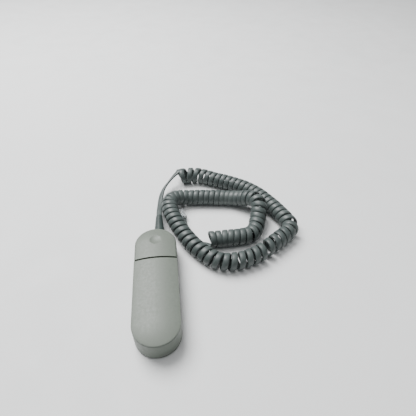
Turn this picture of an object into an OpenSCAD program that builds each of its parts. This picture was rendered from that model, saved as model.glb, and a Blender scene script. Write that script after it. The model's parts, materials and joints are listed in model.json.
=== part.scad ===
// Hand controller for a telescope mount: a slim handset that lies on its keys, back up,
// with a coiled flat cord that ends in a small modular plug.
// Frame: +Z up, +Y towards the cord end, origin under the middle of the casing on the table.

/* [Casing] */

// Width of the casing
body_w = 40; // [30:0.5:60]
// Length of the casing, tip to tip
body_l = 124; // [90:1:180]
// Height of the upper edge of the side wall
edge_z = 21.3; // [15:0.1:35]
// Rise of the rounded back above that edge
crown = 3; // [1:0.1:6]
// Height of the joint between front shell and rear shell
split_z = 6.5; // [4:0.1:12]
// Wall thickness of both shells
wall = 2; // [1.2:0.1:3]
// Rounding of the front shell's lower edge
foot_r = 2; // [0.5:0.1:4]
// Rounding of the upper edge at the head
head_r = 2.5; // [0.5:0.1:5]

/* [Back] */

// Middle of the groove between head and rear cover
groove_y = 22.6; // [10:0.1:40]
// Width of that groove
groove_w = 1.7; // [0.8:0.1:4]
// Edge thickness of the rear cover
cover_edge = 1.4; // [1:0.1:3]
// Clearance under and around the rear cover
cover_gap = 0.3; // [0.1:0.05:0.6]
// Travel of the rear cover before it lifts off
cover_slide = 8; // [5:0.5:15]
// Middle of the finger dish in the head
dish_y = 45.3; // [35:0.1:55]
// Diameter of the finger dish
dish_d = 13; // [8:0.5:20]
// Depth of the finger dish
dish_depth = 1.2; // [0.5:0.1:2.5]

/* [Keys] */

// Depth of the recessed key panel below the rim
panel_drop = 1.8; // [1:0.1:3]
// Diameter of a direction key
arrow_d = 10.5; // [8:0.5:14]
// Diameter of a small key
small_d = 8; // [6:0.5:12]
// Travel of a key
key_travel = 1; // [0.5:0.1:2]
// Running clearance around a key
key_gap = 0.3; // [0.1:0.05:0.5]

/* [Cord] */

// Width of the flat cord
cord_w = 6.1; // [4:0.1:8]
// Thickness of the flat cord
cord_t = 2.4; // [1.8:0.1:3.5]
// Outer diameter of the coil
coil_d = 17.6; // [12:0.1:25]
// Length of the strain relief outside the casing
boot_l = 28; // [15:1:50]
// Diameter of the strain relief at the casing
boot_d1 = 11.2; // [8:0.1:15]
// Diameter of the strain relief at its tip
boot_d2 = 6.9; // [5:0.1:9]

/* [Hidden] */

$fn = 64;
eps = 0.02;

r_body = body_w / 2;
y_end = body_l / 2 - r_body;
deck_top = edge_z - cover_edge - cover_gap;
deck_t = 1.8;
cover_t = 1.6;
cover_rim = 3.2;
deck_low = deck_top - deck_t;
cover_low = deck_top + cover_gap;
r_crown = (r_body * r_body + crown * crown) / (2 * crown);
crown_mid = edge_z + crown - r_crown;

panel_w = 31;
panel_l = 72;
panel_out = panel_drop;
panel_in = panel_drop + 2;
board_low = 7.9;
board_t = 1.6;
board_top = board_low + board_t;
key_face = 0.6;
flange_low = panel_in + 0.3;
flange_top = flange_low + 1;
led_y = 30;

exit_x = 3.2;
exit_z = 11;
flange_y = 54.6;
slot_gap = 0.1;
cord_cut_y = 48;
clamp_y = 51.5;

clamp_w = 19.6;
clamp_l = 5;
clamp_top = exit_z + 3.2;

// Where the bosses of the two shells meet, and how far down their screws and pilot holes reach
boss_top = 10.2;
pilot_z = 4.5;
screw_tip = 5;
lip_gap = 0.1;
lip_t = 1;
lip_drop = 1.4;
screw_sink = 1.2;

case_screws_at = [[-14, 14.5], [14, 14.5], [-11, -50], [11, -50]];
board_screws_at = [[-12, 38], [11, 38], [0, -45]];
hooks_at = [[-14, -36], [14, -36], [-14, -6], [14, -6]];
clamp_screws_at = [exit_x - 7.5, exit_x + 7.5];

// Plug: centre on the table, turned 18 degrees left of the casing's length
plug_at = [26.8, 96.9];
plug_turn = 18;
plug_w = 9.65;
plug_l = 12.3;
plug_h = 6.6;

// Route of the coil's axis, one point about every 12 mm: x, y, z
coil_route = [
    [29, 159.5, 8.9], [35, 160, 8.9], [48, 160, 8.9], [61, 155.5, 8.9], [73.5, 149, 8.9],
    [86, 142.5, 8.9], [98, 135, 8.9], [108, 127, 8.9], [117, 117, 8.9], [124.5, 105, 8.9],
    [131, 92.5, 8.9], [136.5, 80, 8.9], [140, 70.5, 8.9], [141.5, 62.5, 8.9], [138, 55, 8.9],
    [130, 48.5, 8.9], [120, 41.5, 8.9], [110, 34.5, 8.9], [101, 29, 8.9], [92, 25, 8.9],
    [82, 22.3, 8.9], [73, 21.3, 8.9], [64, 22.3, 8.9], [56, 26, 8.9], [48, 33.3, 8.9],
    [39.7, 43, 8.9], [31.8, 55.5, 9.2], [25, 69, 10.5], [19, 83.5, 12.5], [15.5, 97, 14],
    [15.7, 107, 14.3], [20, 114.3, 13.3], [27.5, 118.3, 11], [37, 119.5, 9], [51, 118.5, 8.9],
    [66, 116.5, 8.9], [81.5, 114, 9], [94, 109, 11.5], [103, 103.5, 15.8], [110, 97.2, 18.7],
    [112.5, 88, 18], [110.5, 79.5, 14], [107.5, 71, 10.5], [103.5, 61.5, 8.9], [96.5, 54.5, 8.9],
    [86, 52.5, 8.9], [74.5, 52.2, 8.9], [63.5, 52, 8.9], [53, 52, 8.9]];

// Where one coil solid ends and the next begins, as places in coil_route
coil_cuts = [0, 6, 12, 17, 24, 29, 33, 38, 43, 48];

// Routes of the flat cord: x, y, z and its roll about its own run in degrees
lead_route = [
    [3.2, 61.5, 11, 0], [3.2, 75, 11, 0], [3.2, 88.5, 11, 0], [3.3, 98, 10.2, 4],
    [4, 109, 8.7, 10], [4.9, 119.5, 8.2, 20], [6.8, 131, 8.5, 35], [10.5, 140.5, 9.8, 48],
    [15.7, 147.8, 11.6, 50], [21, 154.4, 13.6, 35], [25, 158, 15.4, 15], [27.8, 159.2, 16, 3],
    [29, 159.3, 16, 0]];
tail_route = [
    [52.5, 52, 1.5, 0], [51.6, 51.9, 1.5, 0], [48.8, 52.1, 1.4, 0], [44.2, 54.6, 1.4, 0],
    [39.6, 60.2, 1.4, 0], [36.1, 67, 1.4, 0], [33, 74.6, 1.4, 0], [31.2, 80, 1.4, 0],
    [30.2, 84.5, 1.8, 0], [29.4, 88.5, 2.9, 0], [28.7, 91.05, 3.3, 0], [27.9, 93.4, 3.3, 0],
    [27.2, 95.8, 3.3, 0]];

shell_grey = [0.66, 0.68, 0.65];
cord_grey = [0.36, 0.40, 0.39];
key_grey = [0.25, 0.27, 0.28];
board_green = [0.05, 0.30, 0.16];
steel = [0.72, 0.72, 0.74];
gold = [0.80, 0.62, 0.25];

// ---- shapes the casing is made of ----

// Height of the rounded back at a distance x from the middle line
function back_z(x) = crown_mid + sqrt(r_crown * r_crown - x * x);

// Points of the rounded back from x0 out to x1, lowered by drop
function back_arc(x0, x1, drop = 0, n = 12) =
    [for (i = [0:n]) let (x = x0 + (x1 - x0) * i / n) [x, back_z(x) - drop]];

// Points of an arc round c
function arc(c, r, a0, a1, n = 6) =
    [for (i = [0:n]) let (a = a0 + (a1 - a0) * i / n) [c[0] + r * cos(a), c[1] + r * sin(a)]];

// A closed half section, x from 0 outwards, run round the casing's plan between the two ends
module around_plan(half, near = true, far = true) {
    rotate([90, 0, 0])
        linear_extrude(height = 2 * y_end, center = true) {
            polygon(half);
            mirror([1, 0]) polygon(half);
        }
    if (far)
        translate([0, y_end, 0]) rotate_extrude(angle = 180) polygon(half);
    if (near)
        translate([0, -y_end, 0]) rotate([0, 0, 180]) rotate_extrude(angle = 180) polygon(half);
}

// Half section of a plain slab of the plan, pulled in by inset
function slab(inset, z0, z1) =
    [[0, z0], [r_body - inset, z0], [r_body - inset, z1], [0, z1]];

module ring_wall(in0, in1, z0, z1) {
    difference() {
        around_plan(slab(in0, z0, z1));
        around_plan(slab(in1, z0 - 1, z1 + 1));
    }
}

// Half the table beyond y, used to keep the head or the cover's part of a shape
module beyond(y, side = 1) {
    translate([-body_w, side > 0 ? y : y - body_l * 2, -5]) cube([2 * body_w, 2 * body_l, 60]);
}

module pin(at, d, z0, z1) {
    translate([at[0], at[1], z0]) cylinder(d = d, h = z1 - z0);
}

module block(x0, x1, y0, y1, z0, z1) {
    translate([x0, y0, z0]) cube([x1 - x0, y1 - y0, z1 - z0]);
}

module round_plate(w, l, r, z0, z1) {
    translate([0, 0, z0])
        linear_extrude(height = z1 - z0)
            union() {
                square([w - 2 * r, l], center = true);
                square([w, l - 2 * r], center = true);
                for (sx = [-1, 1], sy = [-1, 1])
                    translate([sx * (w / 2 - r), sy * (l / 2 - r)]) circle(r = r);
            }
}

module clamp_block(z0, z1) {
    block(exit_x - clamp_w / 2, exit_x + clamp_w / 2, clamp_y - clamp_l / 2,
          clamp_y + clamp_l / 2, z0, z1);
}

// ---- casing ----

module front_shell() {
    foot = concat([[0, 0]], arc([r_body - foot_r, foot_r], foot_r, -90, 0),
                  [[r_body, split_z], [0, split_z]]);
    color(shell_grey)
        difference() {
            union() {
                difference() {
                    around_plan(foot);
                    around_plan(slab(wall, panel_in, split_z + 1));
                }
                for (p = case_screws_at) pin(p, 6, panel_in - eps, boss_top);
                for (p = board_screws_at) pin(p, 5, panel_in - eps, board_low);
                clamp_block(panel_in - eps, exit_z - cord_t / 2);
            }
            round_plate(panel_w, panel_l, 6, -1, panel_out);
            for (k = big_keys) pin(k, arrow_d + 2 * key_gap, -1, panel_in + 1);
            for (k = small_keys) pin(k, small_d + 2 * key_gap, -1, panel_in + 1);
            for (x = [-6, 0, 6]) pin([x, led_y], 2.5, -1, panel_in + 1);
            for (p = case_screws_at) pin(p, 2.5, pilot_z, boss_top + 1);
            for (p = board_screws_at) pin(p, 2, pilot_z, board_low + 1);
            for (x = clamp_screws_at) pin([x, clamp_y], 2, pilot_z, exit_z);
        }
}

module rear_shell() {
    fillet_z = crown_mid + sqrt(pow(r_crown - head_r, 2) - pow(r_body - head_r, 2));
    fillet_x = (r_body - head_r) * r_crown / (r_crown - head_r);
    tangent = asin(fillet_x / r_crown);
    head_out = concat([[0, split_z]], [[r_body, split_z]],
                      arc([r_body - head_r, fillet_z], head_r, 0, 90 - tangent, 8),
                      back_arc(fillet_x, 0));
    head_in = concat([[0, split_z - 1], [r_body - wall, split_z - 1]],
                     back_arc(r_body - wall, 0, wall));
    head_y = groove_y + groove_w / 2;
    dish_r = (dish_d * dish_d / 4 + dish_depth * dish_depth) / (2 * dish_depth);
    color(shell_grey)
        difference() {
            union() {
                difference() {
                    union() {
                        around_plan(slab(0, split_z, deck_top));
                        intersection() {
                            around_plan(head_out, near = false);
                            beyond(head_y);
                        }
                    }
                    around_plan(slab(wall, split_z - 1, deck_low));
                    intersection() {
                        around_plan(head_in, near = false);
                        beyond(head_y + wall);
                    }
                }
                for (p = case_screws_at) pin(p, 6, boss_top, deck_low + eps);
                difference() {
                    union() {
                        ring_wall(wall + lip_gap, wall + lip_gap + lip_t,
                                  split_z - lip_drop, split_z + 1);
                        ring_wall(wall - 0.5, wall + lip_gap + lip_t, split_z + 0.2, split_z + 1);
                    }
                    block(exit_x - clamp_w / 2 - 1, exit_x + clamp_w / 2 + 1, clamp_y - 4,
                          body_l / 2 - wall, split_z - 2, split_z + 2);
                }
            }
            for (p = case_screws_at) {
                pin(p, 2.7, boss_top - 1, deck_top + 1);
                pin(p, 5, deck_top - screw_sink, deck_top + 1);
                pin(p, 6.4, split_z - 2, boss_top);
            }
            for (h = hooks_at)
                block(h[0] - 1.1, h[0] + 1.1, h[1] - cover_slide - 0.3, h[1] + 5.3,
                      deck_low - 1, deck_top + 1);
            translate([0, dish_y, back_z(0) - dish_depth + dish_r]) sphere(r = dish_r, $fn = 96);
            translate([exit_x, body_l / 2 - 8, exit_z])
                rotate([-90, 0, 0]) cylinder(d = 8.6, h = 12);
        }
}

module rear_cover() {
    top = concat([[0, cover_low], [r_body, cover_low]], back_arc(r_body, 0));
    r_in = r_body - cover_rim;
    hollow = concat([[0, cover_low - 1], [r_in, cover_low - 1]], back_arc(r_in, 0, cover_t));
    cover_y = groove_y - groove_w / 2;
    color(shell_grey)
        union() {
            difference() {
                intersection() {
                    around_plan(top, far = false);
                    beyond(cover_y, -1);
                }
                intersection() {
                    around_plan(hollow, far = false);
                    beyond(cover_y - 2, -1);
                }
            }
            for (h = hooks_at) {
                block(h[0] - 0.8, h[0] + 0.8, h[1], h[1] + 5, deck_low - 1.7, back_z(h[0]) - 1);
                block(h[0] - 0.8, h[0] + 0.8, h[1], h[1] + 7.5, deck_low - 1.7, deck_low - 0.3);
            }
        }
}

// ---- keys ----

// Places of the keys' middles
key_mid = [0, -2];
big_keys = [key_mid + [0, 11], key_mid - [0, 11], key_mid - [9.2, 0], key_mid + [9.2, 0]];
small_keys = [[-6.5, -28], [6.5, -28]];

// A round key with a flange inside; a direction key also has an arrow sunk in its face
module round_key(at, d, arrow = -1) {
    color(key_grey)
        difference() {
            translate([at[0], at[1], 0])
                rotate_extrude()
                    polygon([[0, key_face], [d / 2 - 0.8, key_face], [d / 2, key_face + 0.8],
                             [d / 2, flange_low], [d / 2 + 1, flange_low],
                             [d / 2 + 1, flange_top], [0, flange_top]]);
            if (arrow >= 0)
                translate([at[0], at[1], key_face - 1])
                    rotate([0, 0, arrow])
                        linear_extrude(height = 1.3)
                            polygon([[-2.2, -1.4], [2.2, -1.4], [0, 2.2]]);
        }
}

// Rubber dome that returns a key; the pill under its crown stops short of the board by the travel
module key_dome(at, d) {
    gap = board_low - flange_top;
    color([0.75, 0.76, 0.74])
        translate([at[0], at[1], flange_top])
            rotate_extrude()
                polygon([[0, 0], [d * 0.28, 0], [d * 0.46, gap - 0.5], [d * 0.46, gap],
                         [d * 0.34, gap], [d * 0.34, gap - 0.6], [d * 0.2, 0.7],
                         [d * 0.12, 0.7], [d * 0.12, gap - key_travel], [0, gap - key_travel]]);
}

// ---- electronics ----

module circuit_board() {
    color(board_green)
        difference() {
            union() {
                block(-15.5, 15.5, -38, 44, board_low, board_top);
                pin([0, -38], 31, board_low, board_top);
            }
            for (p = case_screws_at) pin(p, 7.4, board_low - 1, board_top + 1);
            for (p = board_screws_at) pin(p, 2.2, board_low - 1, board_top + 1);
        }
}

module controller_chip() {
    color([0.08, 0.08, 0.09])
        union() {
            block(-5, 5, -11, 3, board_top + 0.2, board_top + 2);
            for (s = [-1, 1], i = [0:9])
                block(s > 0 ? 5 - eps : -6.4, s > 0 ? 6.4 : -5 + eps, -10.6 + i * 1.4,
                      -10.1 + i * 1.4, board_top, board_top + 0.7);
        }
}

module board_parts() {
    color([0.20, 0.18, 0.16])
        for (i = [0:5]) {
            block(-9 + i * 3.4, -7.4 + i * 3.4, 20, 23.2, board_top, board_top + 0.8);
            block(-9 + i * 3.4, -7.4 + i * 3.4, -24, -20.8, board_top, board_top + 0.8);
        }
}

module board_connector() {
    color([0.90, 0.88, 0.80])
        difference() {
            block(exit_x - 4.5, exit_x + 4.5, 36, 43, board_top, board_top + 4.5);
            block(exit_x - 3.5, exit_x + 3.5, 37, 42, board_top + 3, board_top + 5);
        }
}

module inner_leads() {
    color([0.7, 0.15, 0.12])
        for (i = [0:5])
            translate([exit_x + (i - 2.5) * 0.95, 43, exit_z])
                rotate([-90, 0, 0]) cylinder(d = 0.8, h = cord_cut_y - 43, $fn = 16);
}

module rate_leds() {
    color([0.75, 0.1, 0.08])
        for (x = [-6, 0, 6])
            block(x - 1, x + 1, led_y - 1.2, led_y + 1.2, board_low - 1.2, board_low);
}

module light_guides() {
    color([0.85, 0.87, 0.87])
        union() {
            for (x = [-6, 0, 6]) pin([x, led_y], 2.5, panel_out, panel_in + eps);
            block(-8, 8, led_y - 2.2, led_y + 2.2, panel_in, board_low - 1.2);
        }
}

// ---- fastenings ----

module screw(at, head_d, head_h, shank_d, z_seat, z_tip) {
    color(steel)
        difference() {
            union() {
                pin(at, head_d, z_seat, z_seat + head_h);
                pin(at, shank_d, z_tip, z_seat + eps);
            }
            for (a = [0, 90])
                translate([at[0], at[1], z_seat + head_h])
                    rotate([0, 0, a]) cube([head_d * 0.6, 0.5, 1], center = true);
        }
}

module case_screws() {
    for (p = case_screws_at) screw(p, 4.6, 1.1, 2.4, deck_top - screw_sink, screw_tip);
}

module board_screws() {
    for (p = board_screws_at) screw(p, 4, 1.3, 1.9, board_top, screw_tip);
}

module clamp_screws() {
    for (x = clamp_screws_at) screw([x, clamp_y], 4, 1.3, 1.9, clamp_top, screw_tip);
}

module cord_clamp() {
    color(key_grey)
        difference() {
            clamp_block(exit_z - cord_t / 2, clamp_top);
            block(exit_x - cord_w / 2, exit_x + cord_w / 2, clamp_y - clamp_l, clamp_y + clamp_l,
                  exit_z - cord_t, exit_z + cord_t / 2);
            for (x = clamp_screws_at) pin([x, clamp_y], 2, pilot_z, clamp_top + 1);
        }
}

// ---- cord ----

module inner_cord() {
    color(cord_grey)
        block(exit_x - cord_w / 2, exit_x + cord_w / 2, cord_cut_y, lead_route[0][1],
              exit_z - cord_t / 2, exit_z + cord_t / 2);
}

// Moulded strain relief: a flange inside the wall, a neck through it and a tapered boot outside
module strain_relief() {
    color(cord_grey)
        difference() {
            union() {
                intersection() {
                    translate([exit_x, flange_y, exit_z])
                        rotate([-90, 0, 0]) cylinder(d = 12, h = 5);
                    around_plan(slab(wall + lip_gap, -1, 30));
                }
                translate([exit_x, flange_y + 1, exit_z])
                    rotate([-90, 0, 0]) cylinder(d = 8.4, h = body_l / 2 - flange_y);
                difference() {
                    translate([exit_x, body_l / 2 - 3, exit_z])
                        rotate([-90, 0, 0])
                            cylinder(d1 = boot_d1 + 0.5, d2 = boot_d2, h = boot_l + 3);
                    around_plan(slab(-0.1, -1, 30));
                }
            }
            block(exit_x - cord_w / 2 - slot_gap, exit_x + cord_w / 2 + slot_gap, flange_y - 1,
                  body_l / 2 + boot_l + 1, exit_z - cord_t / 2 - slot_gap,
                  exit_z + cord_t / 2 + slot_gap);
        }
}

function unit(v) = v / norm(v);
function xyz(p) = [p[0], p[1], p[2]];

// A point on a smooth curve through the four points a b c d, between b and c
function smooth(a, b, c, d, t) =
    0.5 * (2 * b + (c - a) * t + (2 * a - 5 * b + 4 * c - d) * t * t
           + (3 * b - a - 3 * c + d) * t * t * t);

// Point of a route at place s, a whole number at each listed point
function along(route, s) =
    let (n = len(route) - 1, i = min(floor(s), n - 1), t = s - i,
         a = i > 0 ? route[i - 1] : 2 * route[0] - route[1],
         d = i + 2 <= n ? route[i + 2] : 2 * route[n] - route[n - 1])
    smooth(a, route[i], route[i + 1], d, t);

function heading(route, s) =
    let (n = len(route) - 1)
    unit(xyz(along(route, min(s + 0.05, n))) - xyz(along(route, max(s - 0.05, 0))));

// Ring of points round a route at place s; w and h are its half width and half height
function ring(route, s, w, h, sides, roll = 0) =
    let (p = xyz(along(route, s)), t = heading(route, s),
         side = unit(cross(t, [0, 0, 1])), up = cross(side, t))
    [for (i = [0:sides - 1])
        let (a = 360 * (i + 0.5) / sides, u = w * cos(a), v = h * sin(a))
        p + side * (u * cos(roll) - v * sin(roll)) + up * (u * sin(roll) + v * cos(roll))];

// Closed solid through rings of equal size
module skin(rings) {
    n = len(rings);
    m = len(rings[0]);
    polyhedron(
        points = [for (r = rings) each r],
        faces = concat(
            [[for (j = [m - 1:-1:0]) j]],
            [for (i = [0:n - 2], j = [0:m - 1])
                [i * m + j, i * m + (j + 1) % m, (i + 1) * m + (j + 1) % m]],
            [for (i = [0:n - 2], j = [0:m - 1])
                [i * m + j, (i + 1) * m + (j + 1) % m, (i + 1) * m + j]],
            [[for (j = [0:m - 1]) (n - 1) * m + j]]),
        convexity = 8);
}

// One stretch of the coil as a plain tube of its outer diameter, a ring every 6 mm or so
module coil_stretch(k) {
    from = coil_cuts[k];
    to = coil_cuts[k + 1];
    color(cord_grey)
        skin([for (i = [0:2 * (to - from)]) ring(coil_route, from + i / 2, coil_d / 2, coil_d / 2, 16)]);
}

// A flat cord's section is wider than an oval of eight sides, so its corners stand out a little
module flat_cord(route) {
    last = len(route) - 1;
    color(cord_grey)
        skin([for (i = [0:2 * last])
            ring(route, i / 2, cord_w / 2 / cos(22.5), cord_t / 2 / cos(22.5), 8,
                 along(route, i / 2)[3])]);
}

module plug_frame() {
    translate([plug_at[0], plug_at[1], 0.1]) rotate([0, 0, plug_turn]) children();
}

// Clear modular plug: body with a cord pocket behind, blade slots in front and a latch on top
module plug_body() {
    color([0.80, 0.84, 0.86])
        plug_frame()
            union() {
                difference() {
                    block(-plug_w / 2, plug_w / 2, -plug_l / 2, plug_l / 2, 0, plug_h);
                    block(-3.2, 3.2, -plug_l / 2 - 1, 1, 1.9, 4.5);
                    for (i = [0:5])
                        block((i - 2.5) * 1.02 - 0.2, (i - 2.5) * 1.02 + 0.2,
                              2, plug_l / 2 + 1, -1, 3.2);
                }
                hull() {
                    block(-3, 3, plug_l / 2 - 1.2, plug_l / 2 - 0.4, plug_h - eps, plug_h + 0.4);
                    block(-1.6, 1.6, -plug_l / 2, -plug_l / 2 + 1, plug_h + 1, plug_h + 1.7);
                }
            }
}

module plug_contacts() {
    color(gold)
        plug_frame()
            for (i = [0:5])
                block((i - 2.5) * 1.02 - 0.15, (i - 2.5) * 1.02 + 0.15,
                      2.2, plug_l / 2 - 0.6, 0.3, 3.2);
}

front_shell();
rear_shell();
rear_cover();
round_key(big_keys[0], arrow_d, 0);  // key_up
round_key(big_keys[1], arrow_d, 180);  // key_down
round_key(big_keys[2], arrow_d, 90);  // key_left
round_key(big_keys[3], arrow_d, 270);  // key_right
round_key(small_keys[0], small_d);  // key_rate
round_key(small_keys[1], small_d);  // key_mode
key_dome(big_keys[0], arrow_d);  // dome_up
key_dome(big_keys[1], arrow_d);  // dome_down
key_dome(big_keys[2], arrow_d);  // dome_left
key_dome(big_keys[3], arrow_d);  // dome_right
key_dome(small_keys[0], small_d);  // dome_rate
key_dome(small_keys[1], small_d);  // dome_mode
circuit_board();
controller_chip();
board_parts();
board_connector();
rate_leds();
light_guides();
board_screws();
case_screws();
cord_clamp();
clamp_screws();
inner_leads();
inner_cord();
strain_relief();
flat_cord(lead_route);  // cord_lead
coil_stretch(0);  // coil_1
coil_stretch(1);  // coil_2
coil_stretch(2);  // coil_3
coil_stretch(3);  // coil_4
coil_stretch(4);  // coil_5
coil_stretch(5);  // coil_6
coil_stretch(6);  // coil_7
coil_stretch(7);  // coil_8
coil_stretch(8);  // coil_9
flat_cord(tail_route);  // cord_tail
plug_body();
plug_contacts();
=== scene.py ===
import json
import math
import bmesh
import bpy
import numpy as np
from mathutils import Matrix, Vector

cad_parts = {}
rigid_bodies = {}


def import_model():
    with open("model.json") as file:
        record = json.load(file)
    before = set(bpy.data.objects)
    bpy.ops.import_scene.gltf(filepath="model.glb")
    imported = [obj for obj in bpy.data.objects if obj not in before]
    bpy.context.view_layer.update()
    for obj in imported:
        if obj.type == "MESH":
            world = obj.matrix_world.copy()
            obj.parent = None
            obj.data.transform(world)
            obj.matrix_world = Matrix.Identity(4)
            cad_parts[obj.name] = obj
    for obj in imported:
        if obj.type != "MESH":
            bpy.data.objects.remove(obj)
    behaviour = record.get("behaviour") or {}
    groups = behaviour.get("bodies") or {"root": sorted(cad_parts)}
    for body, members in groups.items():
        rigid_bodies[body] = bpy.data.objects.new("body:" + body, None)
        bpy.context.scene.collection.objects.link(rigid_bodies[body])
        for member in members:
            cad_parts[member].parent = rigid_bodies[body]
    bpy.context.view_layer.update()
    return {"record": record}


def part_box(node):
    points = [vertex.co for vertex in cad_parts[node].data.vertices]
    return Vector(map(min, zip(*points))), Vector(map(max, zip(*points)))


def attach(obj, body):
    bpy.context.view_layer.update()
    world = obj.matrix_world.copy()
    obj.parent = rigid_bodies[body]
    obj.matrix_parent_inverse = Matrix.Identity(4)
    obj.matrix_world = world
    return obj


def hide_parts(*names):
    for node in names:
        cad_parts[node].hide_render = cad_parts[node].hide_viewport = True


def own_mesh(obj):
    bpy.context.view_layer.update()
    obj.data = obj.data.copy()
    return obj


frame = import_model()

MM = 0.001


# ---------------------------------------------------------------- camera and light

def place_camera():
    data = bpy.data.cameras.new("view")
    data.lens = 30.81
    data.sensor_width = 36
    data.clip_start = 0.01
    camera = bpy.data.objects.new("view", data)
    camera.location = (0.0248, -0.1911, 0.2808)
    camera.rotation_euler = (math.radians(47.075), 0, math.radians(-6.445))
    bpy.context.collection.objects.link(camera)
    bpy.context.scene.camera = camera


def soft_lamp(name, place, aim, size, power):
    data = bpy.data.lights.new(name, "AREA")
    data.shape = "DISK"
    data.size = size
    data.energy = power
    lamp = bpy.data.objects.new(name, data)
    lamp.location = place
    lamp.rotation_euler = (Vector(aim) - Vector(place)).to_track_quat("-Z", "Y").to_euler()
    bpy.context.collection.objects.link(lamp)


def room_light(strength):
    world = bpy.data.worlds.new("studio")
    world.use_nodes = True
    back = world.node_tree.nodes["Background"]
    back.inputs["Color"].default_value = (0.97, 0.985, 1.0, 1)
    back.inputs["Strength"].default_value = strength
    bpy.context.scene.world = world


place_camera()
room_light(0.22)
soft_lamp("key_lamp", (-0.45, 0.75, 1.3), (0.05, 0.05, 0), 1.1, 50)
soft_lamp("fill_lamp", (-0.1, 0.0, 1.6), (0.05, 0.05, 0), 1.4, 10)


# ---------------------------------------------------------------- the curly cord

cord_width = 6.1 * MM
cord_thick = 2.4 * MM
coil_radius = 7.55 * MM
cord_exit = (3.2 * MM, 61.5 * MM, 11 * MM)
line_step = 1.5 * MM

coil_route = [
    (29, 159.5, 8.9), (35, 160, 8.9), (48, 160, 8.9), (61, 155.5, 8.9), (73.5, 149, 8.9),
    (86, 142.5, 8.9), (98, 135, 8.9), (108, 127, 8.9), (117, 117, 8.9), (124.5, 105, 8.9),
    (131, 92.5, 8.9), (136.5, 80, 8.9), (140, 70.5, 8.9), (141.5, 62.5, 8.9), (138, 55, 8.9),
    (130, 48.5, 8.9), (120, 41.5, 8.9), (110, 34.5, 8.9), (101, 29, 8.9), (92, 25, 8.9),
    (82, 22.3, 8.9), (73, 21.3, 8.9), (64, 22.3, 8.9), (56, 26, 8.9), (48, 33.3, 8.9),
    (39.7, 43, 8.9), (31.8, 55.5, 9.2), (25, 69, 10.5), (19, 83.5, 12.5), (15.5, 97, 14),
    (15.7, 107, 14.3), (20, 114.3, 13.3), (27.5, 118.3, 11), (37, 119.5, 9), (51, 118.5, 8.9),
    (66, 116.5, 8.9), (81.5, 114, 9), (94, 109, 11.5), (103, 103.5, 15.8), (110, 97.2, 18.7),
    (112.5, 88, 18), (110.5, 79.5, 14), (107.5, 71, 10.5), (103.5, 61.5, 8.9),
    (96.5, 54.5, 8.9), (86, 52.5, 8.9), (74.5, 52.2, 8.9), (63.5, 52, 8.9), (53, 52, 8.9)]

# Place in the coil's route, and how far apart the turns lie there in mm; 6 mm is wound shut
pitch_by = [
    (0, 5.5), (1, 6), (1.5, 9), (2.5, 8), (3.5, 6.5), (11.5, 6.5), (12.6, 11.5), (13.4, 6.5),
    (14, 7), (16.2, 7.5), (17.2, 12.5), (17.9, 7.5), (26, 7.5), (29, 6), (30.5, 5.5), (32.5, 7),
    (34, 6), (37.5, 6), (39, 7.5), (41, 6.5), (42.7, 7.5), (44, 6), (48, 6.5)]
coil_end = 47.95
slack = 0.7 * MM

# x, y, z and the ribbon's roll in degrees
lead_route = [
    (3.2, 61.5, 11, 0), (3.2, 75, 11, 0), (3.2, 88.5, 11, 0), (3.3, 98, 10.2, 4),
    (4, 109, 8.7, 10), (4.9, 119.5, 8.2, 20), (6.8, 131, 8.5, 35), (10.5, 140.5, 9.8, 48),
    (15.7, 147.8, 11.6, 50), (21, 154.4, 13.6, 35), (25, 158, 15.4, 15), (27.8, 159.2, 16, 3),
    (29, 159.3, 16, 0)]
tail_route = [
    (52.5, 52, 1.5, 0), (51.6, 51.9, 1.5, 0), (48.8, 52.1, 1.4, 0), (44.2, 54.6, 1.4, 0),
    (39.6, 60.2, 1.4, 0), (36.1, 67, 1.4, 0), (33, 74.6, 1.4, 0), (31.2, 80, 1.4, 0),
    (30.2, 84.5, 1.8, 0), (29.4, 88.5, 2.9, 0), (28.7, 91.05, 3.3, 0), (27.9, 93.4, 3.3, 0),
    (27.2, 95.8, 3.3, 0)]


def along(route, places):
    """Points of the smooth curve through the route, where a whole number is a listed point."""
    p = np.array(route, float)
    n = len(p) - 1
    p = np.vstack([2 * p[0] - p[1], p, 2 * p[n] - p[n - 1]])
    i = np.minimum(np.floor(places).astype(int), n - 1)
    t = (places - i)[:, None]
    a, b, c, d = p[i], p[i + 1], p[i + 2], p[i + 3]
    return 0.5 * (2 * b + (c - a) * t + (2 * a - 5 * b + 4 * c - d) * t ** 2
                  + (3 * b - a - 3 * c + d) * t ** 3)


def unit(v):
    return v / np.linalg.norm(v, axis=1)[:, None]


def flat_run(route, samples=40):
    """Middle line and face direction of a flat stretch of the cord."""
    q = along(route, np.linspace(0, len(route) - 1, samples * len(route)))
    line, roll = q[:, :3] * MM, np.radians(q[:, 3])[:, None]
    run = unit(np.gradient(line, axis=0))
    side = unit(np.cross(run, [0, 0, 1.0]))
    up = np.cross(side, run)
    return line, up * np.cos(roll) - side * np.sin(roll)


def ease(x, start, end):
    """0 before start, 1 after end and a smooth rise between."""
    t = np.clip((x - start) / (end - start), 0, 1)
    return t * t * (3 - 2 * t)


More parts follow.
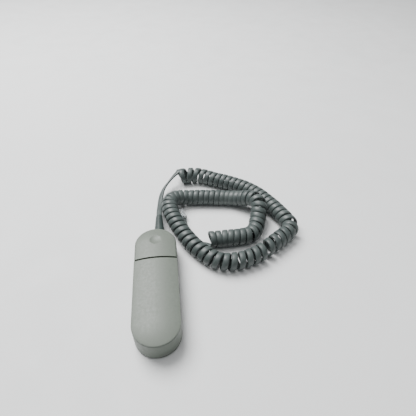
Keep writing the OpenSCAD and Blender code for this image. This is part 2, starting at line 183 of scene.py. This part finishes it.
def wound_run(samples=80):
    """Middle line and face direction of the wound stretch, left-handed round the coil's route.

    The ribbon leaves the last turn at the bottom, so the turns come to a whole number and a half.
    """
    places = np.linspace(0, coil_end, int(samples * coil_end))
    axis = along(coil_route, places) * MM
    run = unit(np.gradient(axis, axis=0))
    step = np.linalg.norm(np.diff(axis, axis=0), axis=1)
    pitch = np.interp(places[1:], *np.array(pitch_by).T) * MM
    turn = np.concatenate([[0], np.cumsum(step / pitch)])
    turns = math.floor(turn[-1]) + 0.5
    turn *= turns / turn[-1]
    angle = 2 * math.pi * turn
    side = unit(np.cross([0, 0, 1.0], run))
    up = np.cross(run, side)
    out = up * np.cos(angle)[:, None] + np.cross(up, run) * np.sin(angle)[:, None]
    # The first turns are slack: a little wider, and their middle a little higher
    loose = slack * (1 - ease(turn, 2.5, 6))
    axis[:, 2] += loose
    reach = coil_radius + loose + 0.06 * MM * np.sin(1.7 * turn)
    # Each turn leans a little its own way, and the end turns lean over the way the cord leaves
    lean = 0.1 * MM * np.sin(0.83 * turn) * np.cos(angle + 0.3 * turn)
    lean -= 0.3 * coil_radius * ease(turn, turns - 2.9, turns - 0.7) * np.sin(angle)
    lean -= 0.4 * coil_radius * (1 - ease(turn, 0.9, 2)) * ease(turn, 0, 0.4) * np.cos(angle)
    return axis + out * reach[:, None] + run * lean[:, None], out


def ribbon_line():
    """The whole cord as evenly spaced points and the direction its face looks in at each."""
    lead, lead_face = flat_run(lead_route)
    coil, coil_face = wound_run()
    tail, tail_face = flat_run(tail_route)
    line = np.vstack([lead[:-30], coil, tail[105:]])
    face = np.vstack([lead_face[:-30], coil_face, -tail_face[105:]])
    step = np.concatenate([[0], np.cumsum(np.linalg.norm(np.diff(line, axis=0), axis=1))])
    even = np.linspace(0, step[-1], int(step[-1] / line_step))
    line = np.stack([np.interp(even, step, line[:, k]) for k in range(3)], 1)
    face = np.stack([np.interp(even, step, face[:, k]) for k in range(3)], 1)
    for end in (step[len(lead) - 31], step[len(lead) - 31 + len(coil)]):
        near = np.exp(-((even - end) / (9 * MM)) ** 2)[:, None]
        for _ in range(14):
            for field in (line, face):
                field[1:-1] += near[1:-1] * 0.5 * (0.5 * (field[:-2] + field[2:]) - field[1:-1])
    return line, face


def make_cord():
    """Flat ribbon with rounded edges swept along the cord's line."""
    line, face = ribbon_line()
    run = unit(np.gradient(line, axis=0))
    face = unit(face - (face * run).sum(1)[:, None] * run)
    side = np.cross(run, face)
    w, h = cord_width / 2, cord_thick / 2
    section = [(w, 0), (w - 0.35 * MM, 0.68 * h), (w - 1.1 * MM, h), (0, h * 1.02)]
    section += [(-x, y) for x, y in section[2::-1]]
    section += [(x, -y) for x, y in section[5:0:-1]]
    rings = [[tuple(p + s * u + f * v) for u, v in section] for p, s, f in zip(line, side, face)]
    n, m = len(rings), len(section)
    verts = [v for r in rings for v in r]
    faces = [(i * m + j, (i + 1) * m + j, (i + 1) * m + (j + 1) % m, i * m + (j + 1) % m)
             for i in range(n - 1) for j in range(m)]
    faces += [tuple(range(m)), tuple(range(n * m - 1, (n - 1) * m - 1, -1))]
    mesh = bpy.data.meshes.new("curly_cord")
    mesh.from_pydata(verts, [], faces)
    uv = mesh.uv_layers.new(name="along_cord")
    spots = [(j / m, i * line_step) for i in range(n - 1) for j in range(m) for i, j in
             ((i, j), (i + 1, j), (i + 1, j + 1), (i, j + 1))]
    spots += [(0, 0)] * (2 * m)
    uv.data.foreach_set("uv", [x for s in spots for x in s])
    mesh.update()
    cord = bpy.data.objects.new("curly_cord", mesh)
    bpy.context.collection.objects.link(cord)
    mesh.shade_smooth()
    return cord, line


curly_cord, cord_line = make_cord()


# ---------------------------------------------------------------- helpers for modelling

def fresh():
    """Deselects everything, so an operator acts only on what comes next."""
    bpy.ops.object.select_all(action="DESELECT")


def named(name):
    """The primitive just added, with its place moved into its mesh."""
    obj = bpy.context.object
    obj.name = obj.data.name = name
    bpy.ops.object.transform_apply(location=True, rotation=True, scale=True)
    return obj


def pick(obj, kind, test):
    """In edit mode, selects the vertices, edges or faces whose middle passes the test."""
    bpy.ops.mesh.select_mode(type=kind)
    bpy.ops.mesh.select_all(action="DESELECT")
    shape = bmesh.from_edit_mesh(obj.data)
    if kind == "VERT":
        for v in shape.verts:
            v.select_set(test(v.co))
    if kind == "EDGE":
        for e in shape.edges:
            e.select_set(test((e.verts[0].co + e.verts[1].co) / 2))
    if kind == "FACE":
        for f in shape.faces:
            f.select_set(test(f.calc_center_median()))
    shape.select_flush_mode()
    bmesh.update_edit_mesh(obj.data)


def pull(dx, dy, dz):
    """Extrudes what is selected."""
    bpy.ops.mesh.extrude_region_move(TRANSFORM_OT_translate={"value": (dx, dy, dz)})


def step_in(inward, rise):
    """Insets the selected face and lifts it."""
    bpy.ops.mesh.inset(thickness=inward, depth=0, use_boundary=True, use_even_offset=True)
    bpy.ops.transform.translate(value=(0, 0, rise))


def close_up():
    """Merges doubles, turns the faces outwards and leaves edit mode."""
    bpy.ops.mesh.select_all(action="SELECT")
    bpy.ops.mesh.remove_doubles(threshold=0.005 * MM)
    bpy.ops.mesh.normals_make_consistent(inside=False)
    bpy.ops.object.mode_set(mode="OBJECT")


def apply_all(obj):
    fresh()
    obj.select_set(True)
    bpy.context.view_layer.objects.active = obj
    for modifier in list(obj.modifiers):
        bpy.ops.object.modifier_apply(modifier=modifier.name)


def cut(obj, cutters):
    """Takes the cutters out of obj, one after another."""
    for cutter in cutters:
        modifier = obj.modifiers.new("cut", "BOOLEAN")
        modifier.operation = "DIFFERENCE"
        modifier.solver = "EXACT"
        modifier.object = cutter
        apply_all(obj)
        bpy.data.objects.remove(cutter)


def add(obj, parts):
    """Joins solid parts on to obj as one solid."""
    for part in parts:
        modifier = obj.modifiers.new("add", "BOOLEAN")
        modifier.operation = "UNION"
        modifier.solver = "EXACT"
        modifier.object = part
        apply_all(obj)
        bpy.data.objects.remove(part)


def soften(obj, width, segments=2, sharp=30):
    """Small rounded edges and smooth shading that keeps flat faces flat."""
    modifier = obj.modifiers.new("edges", "BEVEL")
    modifier.width = width
    modifier.segments = segments
    modifier.limit_method = "ANGLE"
    modifier.angle_limit = math.radians(sharp)
    modifier.miter_outer = "MITER_ARC"
    apply_all(obj)
    bpy.ops.object.shade_smooth_by_angle(angle=math.radians(28))
    obj.modifiers.new("shading", "WEIGHTED_NORMAL").keep_sharp = True
    apply_all(obj)


def join(pieces, name):
    fresh()
    for piece in pieces:
        piece.select_set(True)
    bpy.context.view_layer.objects.active = pieces[0]
    bpy.ops.object.join()
    pieces[0].name = pieces[0].data.name = name
    return pieces[0]


def block(name, x0, x1, y0, y1, z0, z1):
    fresh()
    bpy.ops.mesh.primitive_cube_add(size=1, location=((x0 + x1) / 2, (y0 + y1) / 2, (z0 + z1) / 2),
                                    scale=(x1 - x0, y1 - y0, z1 - z0))
    return named(name)


def rod(name, x, y, z0, z1, radius, sides=48):
    fresh()
    bpy.ops.mesh.primitive_cylinder_add(vertices=sides, radius=radius, depth=z1 - z0,
                                        location=(x, y, (z0 + z1) / 2))
    return named(name)


def turned(name, profile, sides=48):
    """A closed round shape about the Z axis through the listed (radius, z) steps."""
    fresh()
    r, z = profile[0]
    bpy.ops.mesh.primitive_circle_add(vertices=sides, radius=r, fill_type="NGON", location=(0, 0, z))
    obj = named(name)
    bpy.ops.object.mode_set(mode="EDIT")
    bpy.ops.mesh.select_mode(type="FACE")
    bpy.ops.mesh.select_all(action="SELECT")
    for new_r, new_z in profile[1:]:
        pull(0, 0, new_z - z)
        bpy.ops.transform.resize(value=(new_r / r, new_r / r, 1), center_override=(0, 0, new_z))
        r, z = new_r, new_z
    close_up()
    return obj


def place(obj, spot, turn=(0, 0, 0)):
    """Turns and moves a finished shape, then puts its place into its mesh."""
    fresh()
    obj.select_set(True)
    bpy.context.view_layer.objects.active = obj
    obj.rotation_euler = turn
    obj.location = spot
    bpy.ops.object.transform_apply(location=True, rotation=True, scale=True)


def copy_of(obj, name):
    twin = obj.copy()
    twin.data = obj.data.copy()
    twin.name = twin.data.name = name
    bpy.context.collection.objects.link(twin)
    return twin


# ---------------------------------------------------------------- casing

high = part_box("front_shell")[1]
half_width = high[0]
end_y = high[1] - half_width
split_z = 6.5 * MM
deck_z = 19.6 * MM
cover_z = 19.9 * MM
edge_z = 21.3 * MM
crown_rise = 3 * MM
crown_radius = (half_width ** 2 + crown_rise ** 2) / (2 * crown_rise)
wall = 2 * MM
flange_z = 5.1 * MM
board_z = 7.9 * MM
boss_z = 10.2 * MM
panel_z = 3.8 * MM
pilot_z = 4.5 * MM
post_foot = 3.5 * MM
clamp_y = 51.5 * MM
boot_length = 28 * MM
plug_turn = math.radians(18)
key_travel = MM
groove_near = 21.75 * MM
groove_far = 23.45 * MM
key_spots = [(0, 9, 5.25), (0, -13, 5.25), (-9.2, -2, 5.25), (9.2, -2, 5.25), (-6.5, -28, 4),
             (6.5, -28, 4)]
screw_spots = [(-14, 14.5), (14, 14.5), (-11, -50), (11, -50)]
board_spots = [(-12, 38), (11, 38), (0, -45)]
hook_spots = [(-14, -36), (14, -36), (-14, -6), (14, -6)]


def back_z(off_middle):
    """Height of the rounded back at a distance from the middle line."""
    return edge_z + crown_rise - crown_radius + math.sqrt(crown_radius ** 2 - off_middle ** 2)


def long_oval(name, radius, z):
    """The casing's outline as one face, left in edit mode and selected."""
    fresh()
    bpy.ops.mesh.primitive_circle_add(vertices=96, radius=radius, fill_type="NGON",
                                      location=(0, 0, z), rotation=(0, 0, math.radians(1.875)))
    obj = named(name)
    bpy.ops.object.mode_set(mode="EDIT")
    for side in (1, -1):
        pick(obj, "VERT", lambda co: co.y * side > 0)
        bpy.ops.transform.translate(value=(0, side * end_y, 0))
    bpy.ops.mesh.select_mode(type="FACE")
    bpy.ops.mesh.select_all(action="SELECT")
    return obj


def climb(steps):
    """Insets the selected face ring by ring through (distance from middle, z) steps."""
    for (r0, z0), (r1, z1) in zip(steps, steps[1:]):
        step_in(r0 - r1, z1 - z0)


def crown_steps(start, count=9):
    return [(start + (0.4 * MM - start) * k / count,
             back_z(start + (0.4 * MM - start) * k / count)) for k in range(count + 1)]


def oval_cutter(radius, z0, z1):
    cutter = long_oval("cutter", radius, z0)
    pull(0, 0, z1 - z0)
    close_up()
    return cutter


def crowned_hollow(radius, z0, skin, cut_y, keep_far):
    """Cutter for the space under the rounded back, on one side of a line across the casing."""
    hollow = long_oval("cutter", radius, z0)
    pull(0, 0, back_z(radius) - skin - z0)
    climb([(r, z - skin) for r, z in crown_steps(radius)])
    bpy.ops.mesh.select_all(action="SELECT")
    bpy.ops.mesh.bisect(plane_co=(0, cut_y, 0), plane_no=(0, 1, 0), use_fill=True,
                        clear_outer=not keep_far, clear_inner=keep_far)
    close_up()
    return hollow


def make_rear_shell():
    """Upper half of the casing: head with a thumb dish, and a low deck under the cover."""
    rounding = 2.5 * MM
    inner = half_width - rounding
    turn_z = back_z(0) - crown_radius + math.sqrt((crown_radius - rounding) ** 2 - inner ** 2)
    meets = math.pi / 2 - math.asin(inner / (crown_radius - rounding))
    steps = [(inner + rounding * math.cos(meets * k / 7), turn_z + rounding * math.sin(meets * k / 7))
             for k in range(8)]
    shell = long_oval("handset_rear_shell", half_width, split_z)
    pull(0, 0, turn_z - split_z)
    climb(steps + crown_steps(steps[-1][0])[1:])
    close_up()
    dish_radius, dish_depth = 6.5 * MM, 1.2 * MM
    sphere_r = (dish_radius ** 2 + dish_depth ** 2) / (2 * dish_depth)
    fresh()
    bpy.ops.mesh.primitive_uv_sphere_add(segments=64, ring_count=96, radius=sphere_r,
                                         location=(0, 45.3 * MM, back_z(0) - dish_depth + sphere_r))
    dish = named("cutter")
    neck = rod("cutter", 0, 0, -6 * MM, 6 * MM, 4.3 * MM)
    place(neck, (cord_exit[0], high[1], cord_exit[2]), (math.pi / 2, 0, 0))
    cut(shell, [block("cutter", -0.03, 0.03, -0.08, groove_far, deck_z, 0.04), dish, neck,
                oval_cutter(half_width - wall, split_z - MM, deck_z - 1.8 * MM),
                crowned_hollow(half_width - wall, split_z - MM, wall,
                               (groove_near + groove_far) / 2 + wall, True)])
    for x, y in screw_spots:
        add(shell, [rod("boss", x * MM, y * MM, boss_z, deck_z - 1.5 * MM, 3 * MM)])
        cut(shell, [rod("cutter", x * MM, y * MM, deck_z - 1.2 * MM, deck_z + MM, 2.5 * MM),
                    rod("cutter", x * MM, y * MM, boss_z - MM, deck_z, 1.35 * MM)])
    for x, y in hook_spots:
        cut(shell, [block("cutter", (x - 1.1) * MM, (x + 1.1) * MM, (y - 8.3) * MM, (y + 5.3) * MM,
                          deck_z - 3 * MM, deck_z + MM)])
    soften(shell, 0.3 * MM)
    return shell


def make_rear_cover():
    """Crowned cover with four hooks that slide in the deck's slots."""
    cover = long_oval("handset_rear_cover", half_width, cover_z)
    pull(0, 0, edge_z - cover_z)
    climb(crown_steps(half_width))
    close_up()
    bpy.ops.object.mode_set(mode="EDIT")
    bpy.ops.mesh.select_all(action="SELECT")
    bpy.ops.mesh.bisect(plane_co=(0, groove_near, 0), plane_no=(0, 1, 0), use_fill=True,
                        clear_outer=True)
    bpy.ops.object.mode_set(mode="OBJECT")
    hollow = crowned_hollow(half_width - 3.2 * MM, cover_z - MM, 1.6 * MM, groove_near - 2 * MM,
                            False)
    cut(cover, [hollow])
    soften(cover, 0.35 * MM)
    hook = block("hook", -0.8 * MM, 0.8 * MM, 0, 5 * MM, 16.1 * MM, cover_z + 1.2 * MM)
    bpy.ops.object.mode_set(mode="EDIT")
    bpy.ops.mesh.select_all(action="SELECT")
    bpy.ops.mesh.bisect(plane_co=(0, 0, 17.5 * MM), plane_no=(0, 0, 1))
    pick(hook, "FACE", lambda co: co.y > 4.9 * MM and co.z < 17.5 * MM)
    pull(0, 2.5 * MM, 0)
    bpy.ops.object.mode_set(mode="OBJECT")
    hooks = []
    for x, y in hook_spots:
        twin = copy_of(hook, "hook_copy")
        place(twin, (x * MM, y * MM, 0))
        hooks.append(twin)
    bpy.data.objects.remove(hook)
    return join([cover, *hooks], "handset_rear_cover")


def make_front_shell():
    """Lower half of the casing: rounded foot, key recess, posts and holes."""
    foot = 2 * MM
    shell = long_oval("handset_front_shell", half_width, split_z)
    pull(0, 0, foot - split_z)
    climb([(half_width - foot + foot * math.cos(math.pi / 2 * k / 6),
            foot - foot * math.sin(math.pi / 2 * k / 6)) for k in range(7)])
    close_up()
    panel = block("cutter", -15.5 * MM, 15.5 * MM, -36 * MM, 36 * MM, -MM, 1.8 * MM)
    bpy.ops.object.mode_set(mode="EDIT")
    pick(panel, "EDGE", lambda co: abs(co.x) > 0.015 and abs(co.y) > 0.035)
    bpy.ops.mesh.bevel(offset=6 * MM, segments=10)
    bpy.ops.object.mode_set(mode="OBJECT")
    cut(shell, [panel, oval_cutter(half_width - wall, panel_z, split_z + MM)])
    posts = [rod("post", x * MM, y * MM, post_foot, boss_z, 3 * MM) for x, y in screw_spots]
    posts += [rod("post", x * MM, y * MM, post_foot, board_z, 2.5 * MM) for x, y in board_spots]
    posts.append(block("post", cord_exit[0] - 9.8 * MM, cord_exit[0] + 9.8 * MM,
                       clamp_y - 2.5 * MM, clamp_y + 2.5 * MM, post_foot, 9.8 * MM))
    add(shell, posts)
    for x, y in screw_spots:
        cut(shell, [rod("cutter", x * MM, y * MM, pilot_z, boss_z + MM, 1.25 * MM)])
    for x, y in board_spots:
        cut(shell, [rod("cutter", x * MM, y * MM, pilot_z, boss_z, MM)])
    for side in (-1, 1):
        x = cord_exit[0] + side * 7.5 * MM
        cut(shell, [rod("cutter", x, clamp_y, pilot_z, 12 * MM, MM)])
    for x, y, r in key_spots:
        cut(shell, [rod("cutter", x * MM, y * MM, -MM, 5 * MM, r * MM + 0.3 * MM)])
    for x in (-6, 0, 6):
        cut(shell, [rod("cutter", x * MM, 30 * MM, -MM, 5 * MM, 1.25 * MM)])
    soften(shell, 0.25 * MM)
    return shell


def make_key(name, x, y, radius, arrow_turn):
    """Round key with a flange inside; a direction key has an arrow sunk in its face."""
    key = turned(name, [(radius - 0.8 * MM, 0.6 * MM), (radius, 1.4 * MM), (radius, 4.1 * MM),
                        (radius + MM, 4.1 * MM), (radius + MM, 5.1 * MM)], 64)
    if arrow_turn is not None:
        fresh()
        bpy.ops.mesh.primitive_cylinder_add(vertices=3, radius=2.2 * MM, depth=0.6 * MM,
                                            location=(0, 0, 0.6 * MM),
                                            rotation=(0, 0, arrow_turn))
        cut(key, [named("cutter")])
    soften(key, 0.2 * MM)
    place(key, (x, y, 0))
    return key


def make_dome(name, x, y, radius):
    """Thin rubber dome under a key, with a post that meets the board."""
    d, gap = 2 * radius, board_z - flange_z
    dome = turned(name, [(0.28 * d, 0), (0.46 * d, gap - 0.5 * MM), (0.46 * d, gap), (0.34 * d, gap),
                         (0.34 * d, gap - 0.6 * MM), (0.2 * d, 0.7 * MM), (0.12 * d, 0.7 * MM),
                         (0.12 * d, gap - key_travel), (0.05 * MM, gap - key_travel)], 40)
    soften(dome, 0.12 * MM)
    place(dome, (x, y, flange_z))
    return dome


def make_boot():
    """Tapered strain relief with a rounded tip and a slot for the flat cord."""
    base, tip = 5.6 * MM, 3.45 * MM
    profile = [(base + 0.12 * MM, -1.6 * MM)]
    profile += [(base + (tip - base) * k / 9, (boot_length - 0.9 * MM) * k / 9) for k in range(10)]
    profile += [(tip - 0.25 * MM, boot_length - 0.4 * MM),
                (tip - 0.7 * MM, boot_length - 0.05 * MM), (0.1 * MM, boot_length)]
    boot = turned("strain_relief_boot", profile, 64)
    place(boot, (cord_exit[0], high[1], cord_exit[2]), (-math.pi / 2, 0, 0))
    x, z = cord_exit[0], cord_exit[2]
    slot = block("cutter", x - 3.15 * MM, x + 3.15 * MM, high[1] - 3 * MM,
                 high[1] + boot_length + MM, z - 1.3 * MM, z + 1.3 * MM)
    cut(boot, [slot])
    soften(boot, 0.12 * MM)
    return boot


def make_plug():
    """Clear modular plug: tapered nose, cord pocket, contact slots and a springy latch."""
    w, l, h = 4.825 * MM, 6.15 * MM, 6.6 * MM
    body = block("plug_clear_body", -w, w, -l, l, 0, h)
    bpy.ops.object.mode_set(mode="EDIT")
    pick(body, "FACE", lambda co: co.y > l * 0.9)
    bpy.ops.mesh.inset(thickness=0.5 * MM, depth=0)
    bpy.ops.transform.translate(value=(0, -0.25 * MM, 0))
    bpy.ops.object.mode_set(mode="OBJECT")
    cutters = [block("cutter", -3.2 * MM, 3.2 * MM, -l - MM, MM, 1.9 * MM, 4.5 * MM)]
    for k in range(6):
        x = (k - 2.5) * 1.02 * MM
        cutters.append(block("cutter", x - 0.2 * MM, x + 0.2 * MM, 2 * MM, l + MM, -MM, 3.2 * MM))
    cut(body, cutters)
    soften(body, 0.15 * MM)
    latch = block("latch", -3 * MM, 3 * MM, -l, l - 0.4 * MM, h - 0.01 * MM, h + 0.5 * MM)
    bpy.ops.object.mode_set(mode="EDIT")
    pick(latch, "VERT", lambda co: co.y < 0)
    bpy.ops.transform.resize(value=(0.53, 1, 1), center_override=(0, -l, h))
    bpy.ops.transform.translate(value=(0, 0, 1.15 * MM))
    bpy.ops.object.mode_set(mode="OBJECT")
    soften(latch, 0.12 * MM)
    plug = join([body, latch], "plug_clear_body")
    place(plug, plug_spot, (0, 0, plug_turn))
    return plug


def make_contacts():
    blade = block("blade", -0.15 * MM, 0.15 * MM, 2.2 * MM, 5.55 * MM, 0.3 * MM, 3.2 * MM)
    soften(blade, 0.05 * MM, 1)
    blades = []
    for k in range(6):
        twin = copy_of(blade, "blade_copy")
        place(twin, ((k - 2.5) * 1.02 * MM, 0, 0))
        blades.append(twin)
    bpy.data.objects.remove(blade)
    contacts = join(blades, "plug_gold_blades")
    place(contacts, plug_spot, (0, 0, plug_turn))
    return contacts


# ---------------------------------------------------------------- finishes

def new_finish(name, **sockets):
    """A material with its even values set straight on the shader."""
    mat = bpy.data.materials.new(name)
    mat.use_nodes = True
    shader = mat.node_tree.nodes["Principled BSDF"]
    for socket, value in sockets.items():
        shader.inputs[socket.replace("_", " ")].default_value = value
    return mat, mat.node_tree, shader


def pattern(tree, scale, detail=4, stretch=(1, 1, 1), source="Object", roughness=0.5):
    """A noise pattern over the piece, as a socket."""
    coords = tree.nodes.new("ShaderNodeTexCoord")
    mapping = tree.nodes.new("ShaderNodeMapping")
    mapping.inputs["Scale"].default_value = stretch
    noise = tree.nodes.new("ShaderNodeTexNoise")
    noise.inputs["Scale"].default_value = scale
    noise.inputs["Detail"].default_value = detail
    noise.inputs["Roughness"].default_value = roughness
    tree.links.new(coords.outputs[source], mapping.inputs["Vector"])
    tree.links.new(mapping.outputs["Vector"], noise.inputs["Vector"])
    return noise.outputs["Fac"]


def shades(tree, shader, fac, dark, light):
    ramp = tree.nodes.new("ShaderNodeValToRGB")
    ramp.color_ramp.elements[0].position = 0.3
    ramp.color_ramp.elements[1].position = 0.7
    ramp.color_ramp.elements[0].color = (*dark, 1)
    ramp.color_ramp.elements[1].color = (*light, 1)
    tree.links.new(fac, ramp.inputs["Fac"])
    tree.links.new(ramp.outputs["Color"], shader.inputs["Base Color"])


def sheen_of(tree, shader, fac, low, high):
    """Roughness between low and high, by the pattern."""
    spread = tree.nodes.new("ShaderNodeMapRange")
    spread.inputs["From Min"].default_value = 0.3
    spread.inputs["From Max"].default_value = 0.7
    spread.inputs["To Min"].default_value = low
    spread.inputs["To Max"].default_value = high
    tree.links.new(fac, spread.inputs["Value"])
    tree.links.new(spread.outputs["Result"], shader.inputs["Roughness"])


def relief(tree, shader, layers):
    """Bumps one over another, each a pattern, a height in metres and a strength."""
    under = None
    for fac, height, strength in layers:
        bump = tree.nodes.new("ShaderNodeBump")
        bump.inputs["Distance"].default_value = height
        bump.inputs["Strength"].default_value = strength
        tree.links.new(fac, bump.inputs["Height"])
        if under:
            tree.links.new(under, bump.inputs["Normal"])
        under = bump.outputs["Normal"]
    tree.links.new(under, shader.inputs["Normal"])


def shell_plastic():
    mat, tree, shader = new_finish("shell_plastic", Specular_IOR_Level=0.4)
    shades(tree, shader, pattern(tree, 420, 5), (0.138, 0.158, 0.134), (0.149, 0.170, 0.144))
    sheen_of(tree, shader, pattern(tree, 420, 6), 0.38, 0.52)
    relief(tree, shader, [(pattern(tree, 1900, 2), 0.00004, 0.5),
                          (pattern(tree, 260, 3, (1, 0.12, 1)), 0.00002, 0.25)])
    return mat


def cord_vinyl():
    """Soft vinyl with faint lines drawn along it by the die and a patchy shine."""
    mat, tree, shader = new_finish("cord_vinyl", Specular_IOR_Level=0.45)
    shades(tree, shader, pattern(tree, 70, 4), (0.052, 0.066, 0.064), (0.076, 0.092, 0.088))
    sheen_of(tree, shader, pattern(tree, 300, 4), 0.34, 0.52)
    lines = pattern(tree, 1, 3, (34, 12, 1), "UV")
    relief(tree, shader, [(lines, 0.00005, 0.45), (pattern(tree, 2600, 2), 0.00002, 0.35)])
    return mat


def boot_vinyl_painted_shade():
    mat, tree, shader = new_finish("boot_vinyl_painted_shade", Specular_IOR_Level=0.45)
    # Same vinyl as the cord, painted about half as bright: painted shade standing in for the shade
    # the boot lies in
    shades(tree, shader, pattern(tree, 70, 4), (0.028, 0.040, 0.038), (0.038, 0.053, 0.050))
    sheen_of(tree, shader, pattern(tree, 300, 4), 0.36, 0.52)
    relief(tree, shader, [(pattern(tree, 1500, 3), 0.00003, 0.5)])
    return mat


def plain_finish(name, dark, light, rough, patch=120, grain=1800, height=0.00003, **sockets):
    """Mottled colour, uneven shine and a fine grain, for moulded and inside pieces."""
    mat, tree, shader = new_finish(name, **sockets)
    shades(tree, shader, pattern(tree, patch, 4), dark, light)
    sheen_of(tree, shader, pattern(tree, patch * 4, 4), rough * 0.8, min(1.0, rough * 1.2))
    relief(tree, shader, [(pattern(tree, grain, 2), height, 0.5)])
    return mat


def screw_steel():
    mat, tree, shader = new_finish("screw_steel", Metallic=1.0)
    shades(tree, shader, pattern(tree, 500, 3), (0.42, 0.42, 0.43), (0.58, 0.58, 0.59))
    sheen_of(tree, shader, pattern(tree, 900, 4), 0.25, 0.42)
    relief(tree, shader, [(pattern(tree, 900, 3, (1, 6, 1)), 0.00001, 0.5)])
    return mat


def board_finish():
    """Green lacquer over faint copper tracks."""
    mat, tree, shader = new_finish("board", Coat_Weight=0.3, Coat_Roughness=0.2)
    coords = tree.nodes.new("ShaderNodeTexCoord")
    tracks = tree.nodes.new("ShaderNodeTexBrick")
    tracks.inputs["Scale"].default_value = 260
    tracks.inputs["Mortar Size"].default_value = 0.03
    tracks.inputs["Color1"].default_value = (0.015, 0.085, 0.035, 1)
    tracks.inputs["Color2"].default_value = (0.018, 0.10, 0.04, 1)
    tracks.inputs["Mortar"].default_value = (0.04, 0.16, 0.06, 1)
    tree.links.new(coords.outputs["Object"], tracks.inputs["Vector"])
    tree.links.new(tracks.outputs["Color"], shader.inputs["Base Color"])
    sheen_of(tree, shader, pattern(tree, 300, 4), 0.3, 0.45)
    relief(tree, shader, [(tracks.outputs["Fac"], 0.00003, 0.4)])
    return mat


finishes = {
    "shell_plastic": shell_plastic(),
    "cord_vinyl": cord_vinyl(),
    "boot_vinyl_painted_shade": boot_vinyl_painted_shade(),
    "key_rubber": plain_finish("key_rubber", (0.050, 0.056, 0.054), (0.068, 0.075, 0.072), 0.6),
    "dome_rubber": plain_finish("dome_rubber", (0.50, 0.50, 0.47), (0.60, 0.60, 0.56), 0.6),
    "board": board_finish(),
    "chip": plain_finish("chip", (0.012, 0.012, 0.013), (0.022, 0.022, 0.024), 0.5, 400, 3000),
    "connector_plastic": plain_finish("connector_plastic", (0.68, 0.66, 0.58), (0.76, 0.74, 0.66),
                                      0.42),
    "led": plain_finish("led", (0.55, 0.02, 0.015), (0.66, 0.03, 0.02), 0.2, 300, 2500, 0.00001),
    "light_guide": plain_finish("light_guide", (0.62, 0.10, 0.08), (0.72, 0.13, 0.10), 0.18, 300,
                                2500, 0.00001, Transmission_Weight=0.4),
    "screw_steel": screw_steel(),
    "clamp_plastic": plain_finish("clamp_plastic", (0.045, 0.045, 0.047), (0.065, 0.065, 0.068),
                                  0.5),
    "lead_insulation": plain_finish("lead_insulation", (0.26, 0.03, 0.025), (0.33, 0.04, 0.03),
                                    0.4, 500),
    "plug_clear": plain_finish("plug_clear", (0.78, 0.82, 0.83), (0.86, 0.89, 0.90), 0.12, 200,
                               1500, 0.00001, Transmission_Weight=0.75, IOR=1.5),
    "contact_gold": plain_finish("contact_gold", (0.80, 0.56, 0.22), (0.90, 0.66, 0.30), 0.25, 600,
                                 2500, 0.00001, Metallic=1.0)}


def fit_piece(piece, body, slot, finish, *nodes):
    piece.data.materials.clear()
    piece.data.materials.append(finishes[finish])
    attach(piece, body)
    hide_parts(*nodes)


# ---------------------------------------------------------------- pieces in place

for row in frame["record"]["subparts"]:
    node = bpy.data.objects[row["node"]]
    for material_slot in node.material_slots:
        material_slot.material = finishes[row["material_slot"]]

plug_spot = (26.8 * MM, 96.9 * MM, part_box("plug_body")[0][2])

fit_piece(curly_cord, "handset", "cord_vinyl", "cord_vinyl",
          "cord_lead", *[f"coil_{k}" for k in range(1, 10)], "cord_tail")
fit_piece(make_rear_shell(), "handset", "shell_plastic", "shell_plastic", "rear_shell")
fit_piece(make_rear_cover(), "cover", "shell_plastic", "shell_plastic", "rear_cover")
fit_piece(make_front_shell(), "handset", "shell_plastic", "shell_plastic", "front_shell")
boot = make_boot()
fit_piece(boot, "handset", "cord_vinyl", "boot_vinyl_painted_shade", "strain_relief")
plug = make_plug()
fit_piece(plug, "handset", "plug_clear", "plug_clear", "plug_body")
contacts = make_contacts()
fit_piece(contacts, "handset", "contact_gold", "contact_gold", "plug_contacts")
arrow_turns = [0, math.pi, math.pi / 2, -math.pi / 2, None, None]
key_names = ["up", "down", "left", "right", "rate", "mode"]
for key_name, (x, y, r), arrow_turn in zip(key_names, key_spots, arrow_turns):
    key = make_key("key_" + key_name + "_cap", x * MM, y * MM, r * MM, arrow_turn)
    fit_piece(key, "body_key_" + key_name, "key_rubber", "key_rubber", "key_" + key_name)
    dome = make_dome("dome_" + key_name + "_rubber", x * MM, y * MM, r * MM)
    fit_piece(dome, "handset", "dome_rubber", "dome_rubber", "dome_" + key_name)
    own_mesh(dome)

fresh()
bpy.ops.mesh.primitive_plane_add(size=6, location=(0, 0, 0))
floor = bpy.context.object
floor.name = "floor"
floor.data.materials.append(plain_finish("floor_paint", (0.80, 0.81, 0.81), (0.82, 0.83, 0.83),
                                         0.7, 6, 500, 0.00002))
